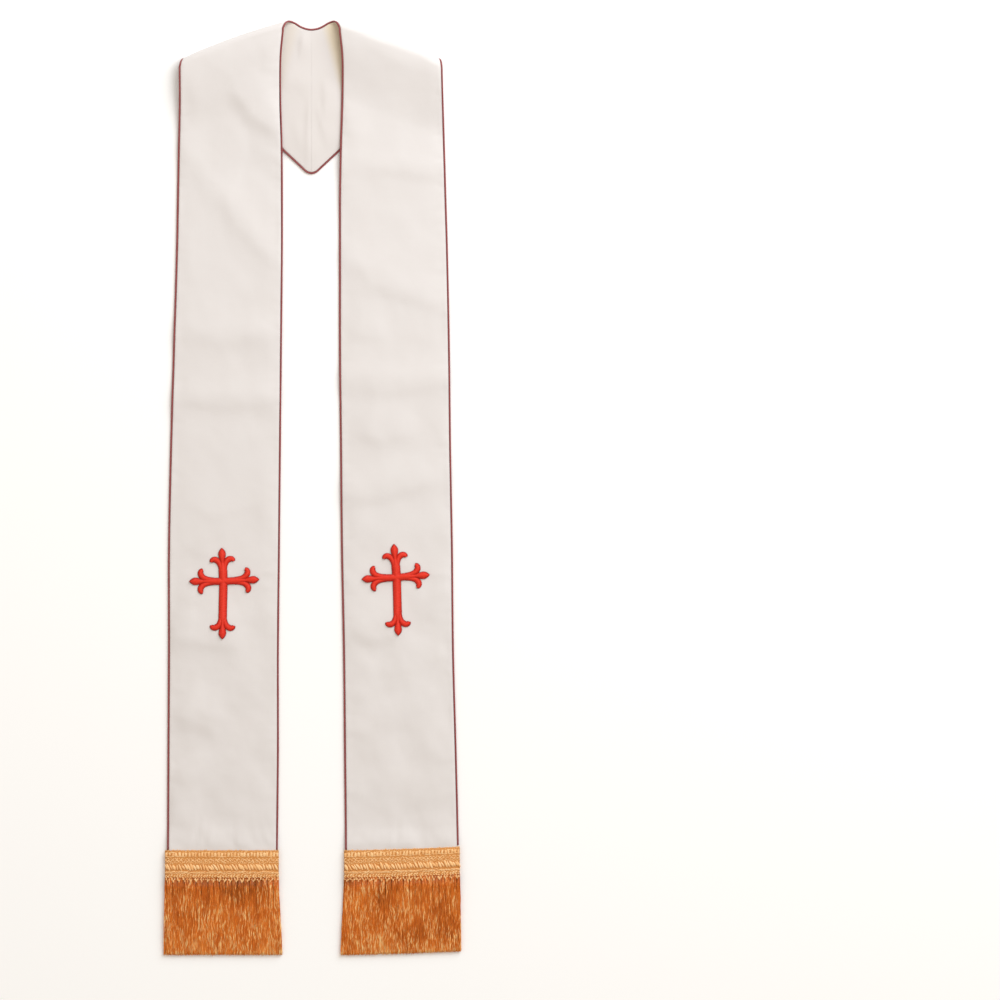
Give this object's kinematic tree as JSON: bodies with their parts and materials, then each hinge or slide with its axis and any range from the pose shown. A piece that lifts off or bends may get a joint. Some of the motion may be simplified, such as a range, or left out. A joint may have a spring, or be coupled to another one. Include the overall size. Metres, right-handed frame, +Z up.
{
  "type": "clerical stole",
  "caption": "Long vestment stole laid flat: straight fronts joined by a pointed yoke at the back neck, piped edges, a cross on each front, braid and fringe at the hems.",
  "frame": {"origin": "centre of the stole's outline on the surface that it lies on, which is also on the plane of the centre-back seam to within 2 mm", "axes": "+X to the right as the fronts are seen, +Y from the fringe to the neck, +Z up from the surface, out of the fronts"},
  "size_m": [0.3983, 1.2627, 0.0156],
  "materials": {
    "ivory_cloth": "ivory satin-backed suiting, fine weave with a low sheen",
    "ivory_lining": "plain ivory lining cloth, soft and smooth",
    "red_piping": "deep red satin bias piping with a soft shine",
    "red_embroidery": "padded satin stitch in bright red rayon thread",
    "gold_braid": "old gold gimp braid of twisted rayon cord",
    "gold_fringe": "antique gold rayon fringe, glossy fine strands"
  },
  "bodies": {
    "root": {"outer_cloth_left": "ivory_cloth", "outer_cloth_right": "ivory_cloth", "lining_left": "ivory_lining", "lining_right": "ivory_lining", "piping_neck_left": "red_piping", "piping_neck_right": "red_piping", "piping_outer_left": "red_piping", "piping_outer_right": "red_piping", "cross_left": "red_embroidery", "cross_right": "red_embroidery", "braid_front_left": "gold_braid", "braid_front_right": "gold_braid", "braid_back_left": "gold_braid", "braid_back_right": "gold_braid", "fringe_front_left": "gold_fringe", "fringe_front_right": "gold_fringe", "fringe_back_left": "gold_fringe", "fringe_back_right": "gold_fringe"}
  },
  "joints": []
}
